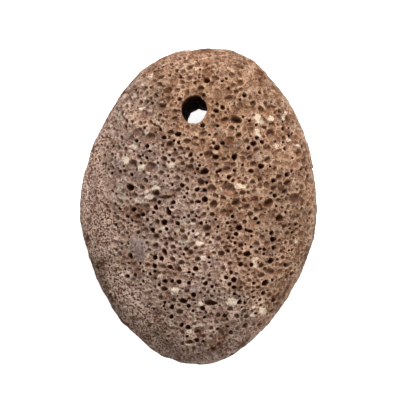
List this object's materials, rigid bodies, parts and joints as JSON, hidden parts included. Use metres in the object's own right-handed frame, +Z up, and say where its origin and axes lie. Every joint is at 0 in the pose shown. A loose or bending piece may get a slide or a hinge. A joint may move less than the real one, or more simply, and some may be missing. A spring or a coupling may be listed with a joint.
{
  "type": "pumice stone",
  "caption": "Egg-shaped, pitted lava pumice stone for rubbing feet, with an upright hole drilled near its blunt end for a hanging cord.",
  "frame": {"origin": "on the resting plane, under the middle of the outline", "axes": "+X across the width, +Y along the length towards the hole, +Z up, out of the upper face"},
  "size_m": [0.0746, 0.1002, 0.0306],
  "materials": {
    "lava": "matt, porous, reddish brown"
  },
  "bodies": {
    "root": {"pumice_stone": "lava"}
  },
  "joints": []
}
